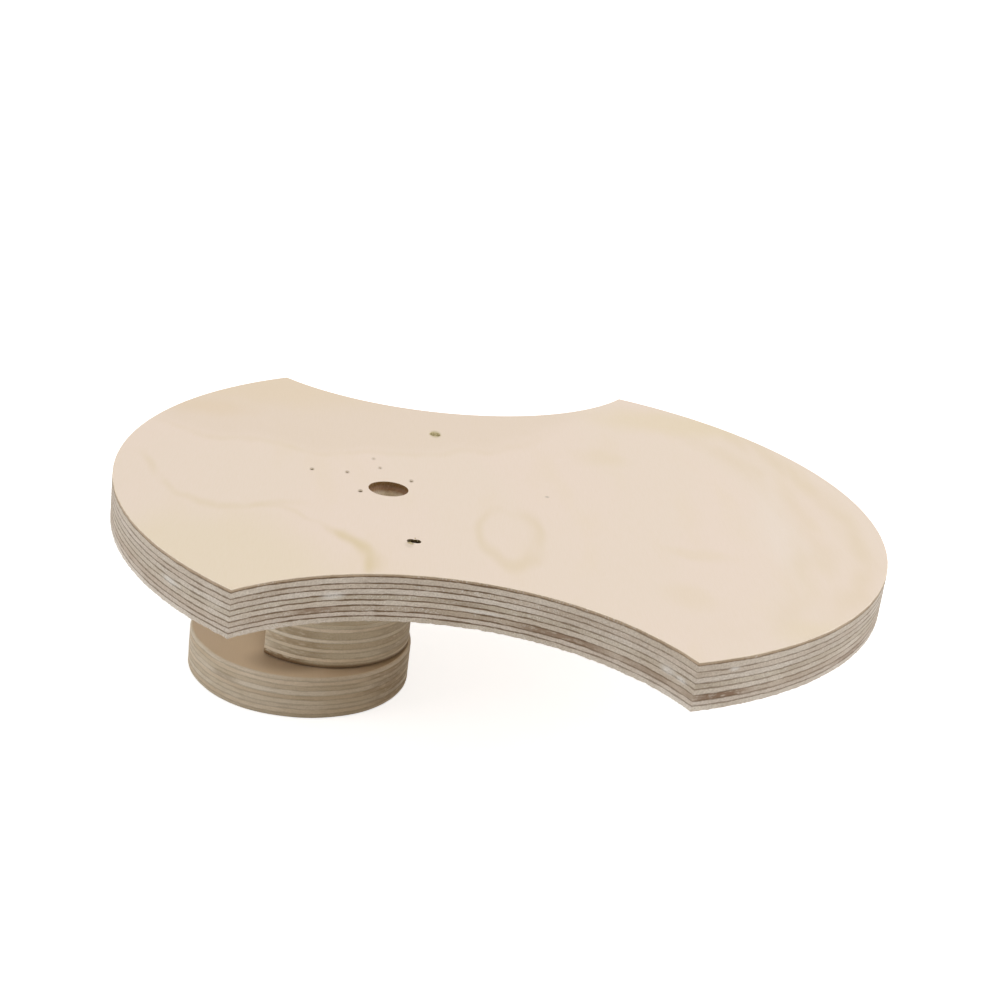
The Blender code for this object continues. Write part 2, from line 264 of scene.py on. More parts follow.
def birch_face_veneer(name, look, figure=(), shades=(), bruises_and_shade=()):
    """Rotary-cut birch veneer, machine sanded and left bare: a pale, even, nearly matt face with
    fine pores and a faint figure, where the peeling knife met the same growth ring again."""
    material, tree, shader = new_material(name, 0.58, specular=0.35)
    place = place_in_mm(tree)
    along = place_in_mm(tree, (1.0, 0.3, 1.0))
    pinkish = blotches(tree, along, 38.0, 0.42, 0.62, 1.0, 3.0)
    colour = stain(tree, look["pale"], look["pink"], 1.0, pinkish)
    warm = blotches(tree, along, 17.0, 0.50, 0.72, 1.5, 11.0)
    colour = stain(tree, colour, look["yellow"], 0.45, warm)
    waver = add_node(tree, "ShaderNodeTexNoise", {
        "Vector": along, "Scale": 1.0 / WAVER, "Detail": 2.0, "Roughness": 0.5}).outputs["Color"]
    waver = add_node(tree, "ShaderNodeVectorMath", {0: waver, 1: (0.5, 0.5, 0.5)},
                     operation="SUBTRACT").outputs[0]
    wavy = add_node(tree, "ShaderNodeVectorMath", {
        0: waver, 1: (WAVER, WAVER, 0.0), 2: place}, operation="MULTIPLY_ADD").outputs[0]
    for centre, radii, full, end, over, strength in shades:
        inside = oval_patch(tree, wavy, centre, radii, full, end)
        colour = stain(tree, colour, over, strength, inside)
    uneven = blotches(tree, along, 9.0, 0.15, 0.62, 1.0, 29.0)
    for centre, radii, reach, around, visible, strength in figure:
        ring = growth_rings(tree, wavy, centre, radii)
        off = add_node(tree, "ShaderNodeMath", {0: ring, 1: 1.0}, operation="SUBTRACT").outputs[0]
        off = add_node(tree, "ShaderNodeMath", {0: off}, operation="ABSOLUTE").outputs[0]
        line = add_node(tree, "ShaderNodeMapRange", {
            "Value": off, "From Min": reach, "From Max": 0.0},
            interpolation_type="SMOOTHSTEP").outputs["Result"]
        near = oval_patch(tree, place, around, (visible, visible), 0.55, 1.0)
        colour = stain(tree, colour, look["streak"], strength, line, near, uneven)
    # Pores and fibres, 0.35 mm apart and about 8 mm long
    fibre = blotches(tree, place_in_mm(tree, (1.0, 0.045, 1.0)), 0.35, 0.30, 0.72, 3.0, 1.0)
    colour = stain(tree, colour, look["streak"], 0.09, fibre)
    # Bruised and stained places round the brads and the screw holes, and a pith fleck; on the disc,
    # painted shade round the neck's foot
    for centre, radii, over, strength in bruises_and_shade:
        spot = oval_patch(tree, place, centre, radii, 0.30, 1.0)
        colour = stain(tree, colour, over, strength, spot)
    tree.links.new(colour, shader.inputs["Base Color"])
    bump = add_node(tree, "ShaderNodeBump", {
        "Height": fibre, "Strength": 0.10, "Distance": 0.03 * MM}).outputs["Normal"]
    tree.links.new(bump, shader.inputs["Normal"])
    return material


# Bare birch in the light, and the warmer look of the same wood on the neck and the disc
PALE_BIRCH = {"pale": "#ebdac9", "pink": "#ecdaca", "yellow": "#ead8c2", "streak": "#d8c498"}
WARM_BIRCH = {"pale": "#e6d2b5", "pink": "#e6d2b8", "yellow": "#e2cba8", "streak": "#c4aa80"}

# Figure of the wall face: centre and radii in plan of a growth ring, half its width as a share
# of its radius, the place round which it shows and how far, and its strength
WALL_FACE_FIGURE = (
    ((2.5, -45.0), (11.5, 27.0), 0.36, (5.0, -60.0), 52.0, 0.30),
    ((-90.0, -88.0), (41.0, 46.0), 0.08, (-60.0, -64.0), 46.0, 0.24),
    ((-90.0, -88.0), (41.0, 46.0), 0.12, (-51.0, -70.0), 28.0, 0.56),
    ((-100.0, 36.0), (50.0, 78.0), 0.07, (-118.0, -30.0), 48.0, 0.28),
    ((-75.0, 125.0), (115.0, 99.0), 0.05, (-60.0, 30.0), 105.0, 0.14),
    ((8.0, -5.0), (111.0, 135.0), 0.11, (112.0, -5.0), 130.0, 0.20),
    ((8.0, -5.0), (130.0, 153.0), 0.09, (128.0, 10.0), 130.0, 0.27))

# Regions of another shade: centre and radii, the shares of the radii inside which it is full
# and beyond which it ends, colour and strength
WALL_FACE_SHADES = (
    ((-75.0, 125.0), (115.0, 99.0), 0.88, 1.04, "#e7d5c2", 0.80),
    ((-110.0, 105.0), (88.0, 42.0), 0.3, 1.0, "#e6d2b4", 0.50),
    ((-122.0, 66.0), (30.0, 16.0), 0.1, 1.0, "#e3ccaa", 0.38),
    ((-104.0, -108.0), (56.0, 72.0), 0.50, 1.04, "#e7d8bb", 0.54),
    ((-84.0, -120.0), (22.0, 14.0), 0.1, 1.0, "#e6cdb0", 0.45),
    ((80.0, 106.0), (54.0, 24.0), 0.2, 1.0, "#e6d5b4", 0.55),
    ((102.0, -104.0), (22.0, 16.0), 0.2, 1.0, "#e6d5b4", 0.35),
    ((108.0, -20.0), (12.0, 70.0), 0.1, 1.0, "#eddfd2", 0.50),
    ((72.0, -44.0), (22.0, 9.0), 0.2, 1.0, "#e5d3b6", 0.35),
    ((64.0, -88.0), (16.0, 14.0), 0.2, 1.0, "#e5d3b6", 0.35),
    ((42.0, 50.0), (14.0, 16.0), 0.2, 1.0, "#e5d3b6", 0.35))

# The room face has a figure of its own
ROOM_FACE_FIGURE = (
    ((40.0, 10.0), (16.0, 62.0), 0.20, (40.0, 10.0), 90.0, 0.45),
    ((40.0, 10.0), (34.0, 96.0), 0.09, (40.0, 10.0), 120.0, 0.40),
    ((-95.0, -20.0), (30.0, 120.0), 0.08, (-110.0, -30.0), 110.0, 0.35))


def ply_levels(top, bottom, plies):
    """Levels of a sheet's faces and glue lines, from top to bottom, in millimetres."""
    levels = [top]
    for ply in plies:
        levels.append(levels[-1] - ply * (top - bottom) / sum(plies))
    return levels


def ply_edge(name, levels, looks):
    """Cut edge of birch plywood, seen as stacked plies with dark glue lines between them. A ply
    whose grain runs along the edge is smooth and pale; one whose grain runs into it shows open
    end grain, greyer and speckled. looks holds the colours and how strong each effect is."""
    material, tree, shader = new_material(name, 0.72, specular=0.25)
    top, bottom = levels[0], levels[-1]
    place = place_in_mm(tree)
    # The glue lines wave a little along the edge
    wave = add_node(tree, "ShaderNodeTexNoise", {
        "Vector": place, "Scale": 1.0 / 9.0, "Detail": 3.0, "Roughness": 0.6}).outputs["Fac"]
    height = add_node(tree, "ShaderNodeSeparateXYZ", {"Vector": place}).outputs["Z"]
    height = add_node(tree, "ShaderNodeMath", {0: wave, 1: looks["wave"], 2: height},
                      operation="MULTIPLY_ADD").outputs[0]
    half_wave = looks["wave"] / 2
    fall = add_node(tree, "ShaderNodeMapRange", {
        "Value": height, "From Min": top + half_wave, "From Max": bottom + half_wave}).outputs["Result"]
    shares = [(top - level) / (top - bottom) for level in levels]

    # Of each ply, red: 1 where the grain runs along Y; green: a number for its own blotches
    facts = [(share, ((i + 1) % 2, i / 9, 0.0, 1.0)) for i, share in enumerate(shares[:-1])]
    facts = add_node(tree, "ShaderNodeValToRGB", {"Fac": fall}, facts, "CONSTANT").outputs["Color"]
    facts = add_node(tree, "ShaderNodeSeparateColor", {"Color": facts})
    along_y, number = facts.outputs[0], facts.outputs[1]

    # 1 at a glue line, falling to 0 beside it
    reach = looks["glue_reach"] / (top - bottom)
    marks = [(0.0, BLACK)]
    for share in shares[1:-1]:
        marks += [(share - reach, BLACK), (share, WHITE), (share + reach, BLACK)]
    marks.append((1.0, BLACK))
    glue = add_node(tree, "ShaderNodeValToRGB", {"Fac": fall}, marks).outputs["Color"]

    # Share of end grain: how squarely the ply's grain runs into the edge
    facing = add_node(tree, "ShaderNodeNewGeometry").outputs["True Normal"]
    facing = add_node(tree, "ShaderNodeSeparateXYZ", {"Vector": facing})
    squared = [add_node(tree, "ShaderNodeMath", {0: facing.outputs[axis], 1: facing.outputs[axis]},
                        operation="MULTIPLY").outputs[0] for axis in ("X", "Y")]
    end = add_node(tree, "ShaderNodeMix", {0: along_y, 2: squared[0], 3: squared[1]}).outputs[0]

    # Each ply has its own blotches, because its number shifts the noise
    shift = add_node(tree, "ShaderNodeMath", {0: number, 1: 90.0}, operation="MULTIPLY").outputs[0]
    tone = blotches(tree, place, 26.0, 0.34, 0.66, 3.0, shift)
    long_grain = stain(tree, looks["long_pale"], looks["long_deep"], 1.0, tone)
    end_grain = stain(tree, looks["end_pale"], looks["end_deep"], 1.0, tone)
    colour = stain(tree, long_grain, end_grain, 1.0, end)
    # Each ply comes from another log, so its wood has a shade of its own
    shades = list(zip(shares, itertools.cycle(looks["ply_shades"])))[:-1]
    shades = add_node(tree, "ShaderNodeValToRGB", {"Fac": fall}, shades, "CONSTANT").outputs["Color"]
    colour = add_node(tree, "ShaderNodeMix", {0: 1.0, 6: colour, 7: shades},
                      data_type="RGBA", blend_type="MULTIPLY").outputs[2]

    # Fibre streaks along the edge, and open pores of end grain. Real pores are 0.1 mm wide; they
    # are drawn at 0.5 mm, because finer ones wouldn't show
    streaks = blotches(tree, place_in_mm(tree, (0.12, 0.12, 1.0)), 0.5, 0.30, 0.70, 2.0, 7.0)
    colour = stain(tree, colour, looks["streak"], looks["streaks"], streaks)
    speckle = blotches(tree, place_in_mm(tree, (0.7, 0.7, 1.0)), 0.5, 0.38, 0.62, 2.0, 19.0)
    colour = stain(tree, colour, looks["pit"], looks["speckle"], speckle)
    grit = blotches(tree, place, 0.6, 0.50, 0.64, 2.0, 13.0)
    patch = blotches(tree, place, 15.0, 0.44, 0.60, 2.0, 23.0)
    for other in (patch, end):
        grit = add_node(tree, "ShaderNodeMath", {0: grit, 1: other}, operation="MULTIPLY").outputs[0]
    colour = stain(tree, colour, looks["torn"], looks["grit"], grit)
    pits = blotches(tree, place, 0.55, 0.56, 0.68, 2.0, 31.0)
    colour = stain(tree, colour, looks["pit"], looks["pits"], pits, end)

    # Brown heartwood in a stretch of a ply. On the neck and the disc the stretches are mostly painted
    # shade, where their sides turn away from the light
    grainy = blotches(tree, place_in_mm(tree, (0.3, 0.3, 1.0)), 0.9, 0.25, 0.55, 2.0, 41.0)
    for ply, centre, length, strength in looks["brown_and_shaded_stretches"]:
        only = [(0.0, BLACK), (shares[ply], WHITE), (shares[ply + 1], BLACK)]
        only = add_node(tree, "ShaderNodeValToRGB", {"Fac": fall}, only, "CONSTANT").outputs["Color"]
        spot = oval_patch(tree, place, centre, (length / 2, length / 2), 0.35, 1.0)
        colour = stain(tree, colour, looks["brown"], strength, spot, only, grainy)

    # Glue lines: wide and dark in some stretches, a thread in others
    spread = blotches(tree, place, 7.0, 0.30, 0.70, 4.0, shift)
    edge = add_node(tree, "ShaderNodeMapRange", {
        "Value": spread, "To Min": looks["glue_thin"], "To Max": looks["glue_wide"]}).outputs["Result"]
    glue_line = add_node(tree, "ShaderNodeMath", {0: glue, 1: edge}, operation="SUBTRACT").outputs[0]
    glue_line = add_node(tree, "ShaderNodeMapRange", {
        "Value": glue_line, "From Min": 0.0, "From Max": 0.45},
        interpolation_type="SMOOTHSTEP").outputs["Result"]
    broken = blotches(tree, place, 1.6, 0.20, 0.52, 2.0, 53.0)
    broken = add_node(tree, "ShaderNodeMapRange", {"Value": broken, "To Min": 0.55}).outputs["Result"]
    # Darkest round the middle of the front bite: partly where the glue stood thickest, partly painted
    # shade of the hollow bite
    thick = oval_patch(tree, place, looks["thick_glue_and_bite_shade"], (95.0, 60.0), 0.2, 1.0)
    thick = add_node(tree, "ShaderNodeMapRange", {
        "Value": thick, "To Min": looks["glue_strength"], "To Max": looks["glue_thick_and_shaded_strength"]})
    for other in (broken, thick.outputs["Result"]):
        glue_line = add_node(tree, "ShaderNodeMath", {
            0: glue_line, 1: other}, operation="MULTIPLY").outputs[0]
    colour = stain(tree, colour, looks["glue"], 1.0, glue_line)

    # Ragged ends of fibre, nearly white, where the cutter left the wood
    splinters = blotches(tree, place, 0.45, -0.20, 0.75, 0.0, 61.0)
    for centre, radii in looks["chips"]:
        spot = oval_patch(tree, place, centre, radii, 0.2, 1.0)
        colour = stain(tree, colour, looks["torn"], 0.55, spot, splinters)
    # Darker along the lower edge of the sheet: glue and dust stain, and painted shade of the crevice at
    # the joint
    if looks["foot"]:
        start, full = bottom + looks["foot"], bottom + 0.4 * looks["foot"]
        foot = add_node(tree, "ShaderNodeMapRange", {
            "Value": height, "From Min": start, "From Max": full},
            interpolation_type="SMOOTHSTEP").outputs["Result"]
        colour = stain(tree, colour, looks["foot_stain_and_shade"], 0.75, foot)
    # The sander has rubbed the upper arris clean
    full = top + half_wave
    rubbed = add_node(tree, "ShaderNodeMapRange", {
        "Value": height, "From Min": full - looks["rubbed"], "From Max": full}).outputs["Result"]
    colour = stain(tree, colour, looks["arris"], 0.8, rubbed)
    tree.links.new(colour, shader.inputs["Base Color"])

    rough = add_node(tree, "ShaderNodeMath", {0: streaks, 1: grit}, operation="ADD").outputs[0]
    rough = add_node(tree, "ShaderNodeMath", {0: rough, 1: glue_line}, operation="SUBTRACT").outputs[0]
    bump = add_node(tree, "ShaderNodeBump", {
        "Height": rough, "Strength": looks["bump"], "Distance": 0.12 * MM}).outputs["Normal"]
    tree.links.new(bump, shader.inputs["Normal"])
    return material


# Sawn edge of the plate: pale and rough, with dark glue lines of uneven width. A brown stretch
# is its ply, its middle in plan, its length and its strength; a chip is its middle and its radii
SAWN_EDGE = {
    "long_pale": "#f3eadf", "long_deep": "#e4d8ca", "end_pale": "#e9decf", "end_deep": "#d4c7b6",
    "brown": "#8a6f58", "streak": "#b9a794", "torn": "#f6f1ea", "pit": "#93806b", "glue": "#70593f",
    "arris": "#fff1dc", "rubbed": 0.35, "foot": 0.0,
    "wave": 0.34, "glue_reach": 0.60, "glue_thin": 0.62, "glue_wide": 0.05,
    "glue_strength": 0.60, "glue_thick_and_shaded_strength": 0.92, "thick_glue_and_bite_shade": (-45.0, -95.0),
    "streaks": 0.25, "speckle": 0.26, "grit": 0.45, "pits": 0.40, "bump": 0.45,
    "ply_shades": ("#d3c1ab", "#f1ede7", "#eee8e2", "#f5f2ee", "#ece8e0", "#f5f1eb", "#e6ded6",
                   "#f5f0ec", "#fffdfa"),
    "brown_and_shaded_stretches": (
        (6, (-66.0, -99.0), 20.0, 0.75), (6, (18.0, -100.0), 44.0, 0.75), (6, (68.0, -132.0), 30.0, 0.95),
        (4, (-20.0, -90.0), 26.0, 0.35), (7, (-118.0, 92.0), 34.0, 0.50), (7, (122.0, -86.0), 40.0, 0.60),
        (6, (46.0, -119.0), 30.0, 0.45), (1, (-45.0, -92.0), 30.0, 0.20)),
    "chips": (((51.3, -127.0, -9.0), (5.0, 5.0, 2.2)), ((55.5, -132.0, -9.5), (4.0, 4.0, 1.6)),
              ((-61.0, -96.5, -8.0), (6.0, 6.0, 2.0)), ((-116.4, -94.6, -9.0), (8.0, 8.0, 1.5)),
              ((72.0, -131.0, -4.0), (3.0, 3.0, 1.2)), ((-10.0, -91.0, -11.0), (12.0, 12.0, 1.0)))}

# Sanded edges of the neck: warm, thin pale plies between thick dark ones, little glue to see. Its brown
# stretches are mostly painted shade on its right side
NECK_EDGE = {
    "long_pale": "#f3e8d5", "long_deep": "#ecdfc9", "end_pale": "#dccfb5", "end_deep": "#cdbfa5",
    "brown": "#8a7050", "streak": "#b8a482", "torn": "#e4dac8", "pit": "#8f7d64", "glue": "#8a765b",
    "arris": "#dcc9aa", "rubbed": 0.2, "foot": 0.0, "foot_stain_and_shade": "#6e502e",
    "wave": 0.30, "glue_reach": 0.80, "glue_thin": 0.70, "glue_wide": 0.20,
    "glue_strength": 0.28, "glue_thick_and_shaded_strength": 0.28, "thick_glue_and_bite_shade": (0.0, 0.0),
    "streaks": 0.22, "speckle": 0.12, "grit": 0.20, "pits": 0.20, "bump": 0.25,
    "ply_shades": ("#ffffff", "#fbf6f0", "#f6f3ee"),
    "brown_and_shaded_stretches": ((4, (-60.0, -34.0), 14.0, 0.15), (2, (-33.0, -14.0), 46.0, 0.40),
                        (4, (-33.0, -14.0), 46.0, 0.45), (5, (-30.0, -14.0), 40.0, 0.35)), "chips": ()}

# The layer next to the disc is darker along its foot, most of all at the left corner: glue stain and
# painted shade of the crevice by the disc. Its brown stretches on the left and right are painted shade
# too
NECK_FOOT_EDGE = dict(
    NECK_EDGE, foot=2.3, brown_and_shaded_stretches=(
        (2, (-76.0, -32.0), 30.0, 0.40), (4, (-76.0, -32.0), 34.0, 0.45), (6, (-74.0, -32.0), 30.0, 0.40),
        (8, (-84.0, -27.0), 44.0, 0.90), (2, (-33.0, -14.0), 46.0, 0.40), (4, (-33.0, -14.0), 46.0, 0.45),
        (6, (-33.0, -14.0), 46.0, 0.40), (7, (-30.0, -14.0), 40.0, 0.35)))

# The disc is sanded most: its plies blend, and its glue lines are soft. The brown stretches on its right
# side are painted shade, where the plate shades the edge
DISC_EDGE = dict(
    NECK_EDGE, long_pale="#eee2cf", long_deep="#e4d6c0", end_pale="#e0d1bb", end_deep="#d4c4ab",
    glue_reach=0.90, glue_strength=0.32, glue_thick_and_shaded_strength=0.32, grit=0.12, pits=0.15,
    speckle=0.10, brown_and_shaded_stretches=(
        (3, (-100.0, -34.0), 16.0, 0.35), (1, (-36.0, -24.0), 40.0, 0.45),
        (2, (-34.0, -22.0), 34.0, 0.30), (3, (-32.0, -22.0), 44.0, 0.50),
        (4, (-38.0, -26.0), 40.0, 0.40), (5, (-32.0, -22.0), 36.0, 0.50),
        (6, (-36.0, -24.0), 34.0, 0.35), (7, (-32.0, -20.0), 44.0, 0.50)))

# The disc's face is darkened round the foot of the neck, most of all by its front left corner: painted
# shade where the neck stands on it
DISC_FACE_PAINTED_SHADE = (
    ((-56.0, 0.0), (44.0, 48.0), "#7d5f38", 0.85), ((-78.0, -31.0), (18.0, 13.0), "#6e502e", 0.48))


def drilled_wall(name, top, stops):
    """Wall of a drilled hole: rubbed and torn by the bit, and of another colour further down.
    Stops are (depth, colour) pairs."""
    material, tree, shader = new_material(name, 0.75, specular=0.2)
    place = place_in_mm(tree)
    height = add_node(tree, "ShaderNodeSeparateXYZ", {"Vector": place}).outputs["Z"]
    # The colours meet along a ragged line
    wander = add_node(tree, "ShaderNodeTexNoise", {
        "Vector": place, "Scale": 1.0 / 2.5, "Detail": 3.0}).outputs["Fac"]
    wander = add_node(tree, "ShaderNodeMath", {0: wander, 1: 0.5}, operation="SUBTRACT").outputs[0]
    height = add_node(tree, "ShaderNodeMath", {0: wander, 1: 1.2, 2: height},
                      operation="MULTIPLY_ADD").outputs[0]
    deepest = stops[-1][0]
    fall = add_node(tree, "ShaderNodeMapRange", {
        "Value": height, "From Min": top, "From Max": top - deepest}).outputs["Result"]
    colours = [(depth / deepest, colour) for depth, colour in stops]
    colour = add_node(tree, "ShaderNodeValToRGB", {"Fac": fall}, colours).outputs["Color"]
    tear = blotches(tree, place_in_mm(tree, (1.0, 1.0, 0.4)), 0.5, 0.45, 0.62, 3.0, 2.0)
    colour = stain(tree, colour, stops[-1][1], 0.06, tear)
    tree.links.new(colour, shader.inputs["Base Color"])
    bump = add_node(tree, "ShaderNodeBump", {
        "Height": tear, "Strength": 0.5, "Distance": 0.15 * MM}).outputs["Normal"]
    tree.links.new(bump, shader.inputs["Normal"])
    return material


def torn_fibre_wood(name, pale, deep):
    """Wood fibres torn loose by a screw: dry, pale and matt, darker where they are bruised."""
    material, tree, shader = new_material(name, 0.8, specular=0.2)
    bruised = blotches(tree, place_in_mm(tree), 0.8, 0.38, 0.62, 2.0, 4.0)
    colour = stain(tree, pale, deep, 1.0, bruised)
    tree.links.new(colour, shader.inputs["Base Color"])
    return material


def drawn_steel(name, bright, dull, roughness, size):
    """Drawn or plated steel, a little dull from handling, with faint drawn lines."""
    material, tree, shader = new_material(name, roughness, metallic=1.0)
    lines = blotches(tree, place_in_mm(tree, (1.0, 1.0, 0.2)), size, 0.35, 0.65, 3.0, 6.0)
    tree.links.new(stain(tree, bright, dull, 1.0, lines), shader.inputs["Base Color"])
    rough = add_node(tree, "ShaderNodeMapRange", {
        "Value": lines, "To Min": roughness - 0.06, "To Max": roughness + 0.12}).outputs["Result"]
    tree.links.new(rough, shader.inputs["Roughness"])
    return material


def seen_directly(tree):
    """1 where a thing is seen itself, also in gloss or through glass, and 0 where it only lights."""
    path = add_node(tree, "ShaderNodeLightPath")
    seen = path.outputs["Is Camera Ray"]
    for way in ("Is Glossy Ray", "Is Transmission Ray"):
        other = path.outputs[way]
        seen = add_node(tree, "ShaderNodeMath", {0: seen, 1: other}, operation="MAXIMUM").outputs[0]
    return seen


def pale_floor(name):
    """Pale matt floor. To the camera, and in gloss, it adds the white that its plain colour
    lacks, so that it shows white where it is lit and keeps the mount's shadow."""
    material, tree, shader = new_material(name, 0.9, specular=0.0)
    shader.inputs["Base Color"].default_value = linear(FLOOR_COLOUR)
    seen = seen_directly(tree)
    glow = add_node(tree, "ShaderNodeMath", {0: seen, 1: FLOOR_GLOW}, operation="MULTIPLY").outputs[0]
    tree.links.new(glow, shader.inputs["Emission Strength"])
    shader.inputs["Emission Color"].default_value = linear(WHITE)
    return material


# Outlines: a list of (point, outward normal) pairs that runs anticlockwise seen from above

def arc(centre, radius, start, end, outward=1.0):
    """Points of an arc without its last one, with normals that point away from the wood's middle."""
    count = max(2, round(abs(end - start) * radius / OUTLINE_STEP))
    points = []
    for i in range(count):
        angle = start + (end - start) * i / count
        direction = Vector((math.cos(angle), math.sin(angle)))
        points.append((Vector(centre) + radius * direction, outward * direction))
    return points


def straight(start, end):
    """Points of a straight stretch without its last one."""
    start, end = Vector(start), Vector(end)
    run = end - start
    count = max(2, round(run.length / OUTLINE_STEP))
    normal = Vector((run.y, -run.x)).normalized()
    return [(start + run * i / count, normal) for i in range(count)]


def mitre_corners(outline, corners):
    """At a corner, the normal becomes the bisector, lengthened so that both sides keep their inset."""
    mitred = list(outline)
    for i in corners:
        before, after = outline[i - 1][1], outline[i][1]
        bisector = (before + after).normalized()
        mitred[i] = (outline[i][0], bisector / max(0.3, bisector.dot(after)))
    return mitred


def plate_outline(radius):
    """The round board with its two bites."""
    bite_y = WAIST_WIDTH / 2 + BITE_RADIUS
    # Where the board's circle meets the bite's
    span = math.hypot(BITE_X, bite_y)
    along = (radius ** 2 - BITE_RADIUS ** 2 + span ** 2) / (2 * span)
    across = math.sqrt(radius ** 2 - along ** 2)
    out = Vector((BITE_X, bite_y)) / span
    side = Vector((out.y, -out.x))
    right, left = along * out + across * side, along * out - across * side
    lobe_right, lobe_left = math.atan2(right.y, right.x), math.atan2(left.y, left.x)
    bite_right = math.atan2(right.y - bite_y, right.x - BITE_X)
    bite_left = math.atan2(left.y - bite_y, left.x - BITE_X)
    parts = [
        arc((0, 0), radius, -lobe_right, lobe_right),
        arc((BITE_X, bite_y), BITE_RADIUS, bite_right, bite_left, -1.0),
        arc((0, 0), radius, lobe_left, math.tau - lobe_left),
        arc((BITE_X, -bite_y), BITE_RADIUS, -bite_left, -bite_right, -1.0)]
    outline, corners = [], []
    for part in parts:
        corners.append(len(outline))
        outline += part
    return mitre_corners(outline, corners)


def neck_outline(box_low, box_high):
    """A circle cut by a flat on its -X side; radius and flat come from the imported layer's box."""
    radius = box_high.y
    centre_x = box_high.x - radius
    half_flat = math.sqrt(radius ** 2 - (centre_x - box_low.x) ** 2)
    corner = math.atan2(half_flat, box_low.x - centre_x)
    outline = arc((centre_x, 0), radius, -corner, corner)
    second = len(outline)
    outline += straight((box_low.x, half_flat), (box_low.x, -half_flat))
    return mitre_corners(outline, (0, second))


# Mesh making

def edge_levels(levels, arris_top, arris_bottom, per_ply=3):
    """Rows down an edge as (level, inset, depth of glue line): a rounded arris above and below,
    a shallow groove at each glue line, and a few rows on each ply."""
    top, bottom = levels[0], levels[-1]
    rows = []
    for i in range(4):
        turn = math.radians(30 * i)
        down, out = 1 - math.cos(turn), 1 - math.sin(turn)
        rows += [(top - arris_top * down, arris_top * out, 0.0),
                 (bottom + arris_bottom * down, arris_bottom * out, 0.0)]
    for upper, lower in zip(levels, levels[1:]):
        for i in range(1, per_ply + 1):
            level = upper + (lower - upper) * i / (per_ply + 1)
            rows.append((level, 0.0, 0.0))
        if lower != bottom:
            rows += [(lower + GLUE_GROOVE, 0.0, 0.0), (lower, 0.0, 1.0), (lower - GLUE_GROOVE, 0.0, 0.0)]
    kept = [row for row in rows if row[1] > 0 or bottom + arris_bottom <= row[0] <= top - arris_top]
    return sorted(kept, key=lambda row: (-row[0], row[1] if row[0] < (top + bottom) / 2 else -row[1]))


def add_row(bm, points):
    """One closed row of vertices, from points in millimetres."""
    return [bm.verts.new(Vector(point) * MM) for point in points]


def add_wall(bm, upper, lower, slot):
    """Quads between two closed rows; the outside is on the right when walking the row."""
    count = len(upper)
    for i in range(count):
        k = (i + 1) % count
        face = bm.faces.new((upper[i], lower[i], lower[k], upper[k]))
        face.material_index = slot
        face.smooth = True


def is_within(point, row):
    """Whether a point lies inside a closed row, seen in plan."""
    inside = False
    for i, one in enumerate(row):
        other = row[i - 1]
        if (one.co.y > point.y) != (other.co.y > point.y):
            cross = one.co.x + (point.y - one.co.y) * (other.co.x - one.co.x) / (other.co.y - one.co.y)
            inside = inside != (point.x < cross)
    return inside


def add_face(bm, rows, up, slot):
    """A flat face bounded by closed rows, the first one outside and the others round holes."""
    vertices = [vertex for row in rows for vertex in row]
    bounds, first = [], 0
    for row in rows:
        bounds += [(first + i, first + (i + 1) % len(row)) for i in range(len(row))]
        first += len(row)
    flat = [vertex.co.xy for vertex in vertices]
    triangles = delaunay_2d_cdt(flat, bounds, [], 1, 1e-9, True)[2]
    for corners in triangles:
        middle = sum((flat[i] for i in corners), Vector((0.0, 0.0))) / 3
        if not is_within(middle, rows[0]) or any(is_within(middle, row) for row in rows[1:]):
            continue
        face = bm.faces.new([vertices[i] for i in (corners if up else reversed(corners))])
        face.material_index = slot
        face.smooth = False


def add_edge(bm, outline, rows, relief):
    """The edge of a sheet: relief(point, normal, level, glue) gives the moved point of a row.
    Returns the rims of the sheet's upper and lower face, to which each hole adds its own."""
    made = []
    for level, inset, glue in rows:
        made.append(add_row(bm, [
            relief(point - normal * inset, normal, level, glue) for point, normal in outline]))
    for upper, lower in zip(made, made[1:]):
        add_wall(bm, upper, lower, EDGE)
    return [made[0]], [made[-1]]


def hole_row(centre, radius, level, count, wobble=0.0, seed=0.0, lobe=0.0):
    """A ring of points, clockwise seen from above, so that its wall faces the hole. With a lobe,
    the ring goes round two overlapping circles whose centres stand that share of the radius
    to either side along X, as a screw that was driven twice leaves."""
    points = []
    for i in range(count):
        cos, sin = math.cos(-math.tau * i / count), math.sin(-math.tau * i / count)
        out = radius * (1 + wobble * noise.noise((cos * 1.7, sin * 1.7, seed)))
        if lobe:
            apart = lobe * radius
            small = radius - apart
            out *= (apart * abs(cos) + math.sqrt(max(0.0, small ** 2 - (apart * sin) ** 2))) / radius
        points.append((centre[0] + out * cos, centre[1] + out * sin, level))
    return points


def add_hole(bm, rims, centre, profile, count, slot, **shape):
    """A hole's wall from an outline of (radius, level) pairs, top to bottom. Its ends are rims."""
    rows = [add_row(bm, hole_row(centre, radius, level, count, **shape)) for radius, level in profile]
    for upper, lower in zip(rows, rows[1:]):
        add_wall(bm, upper, lower, slot)
    rims[0].append(rows[0])
    rims[1].append(rows[-1])


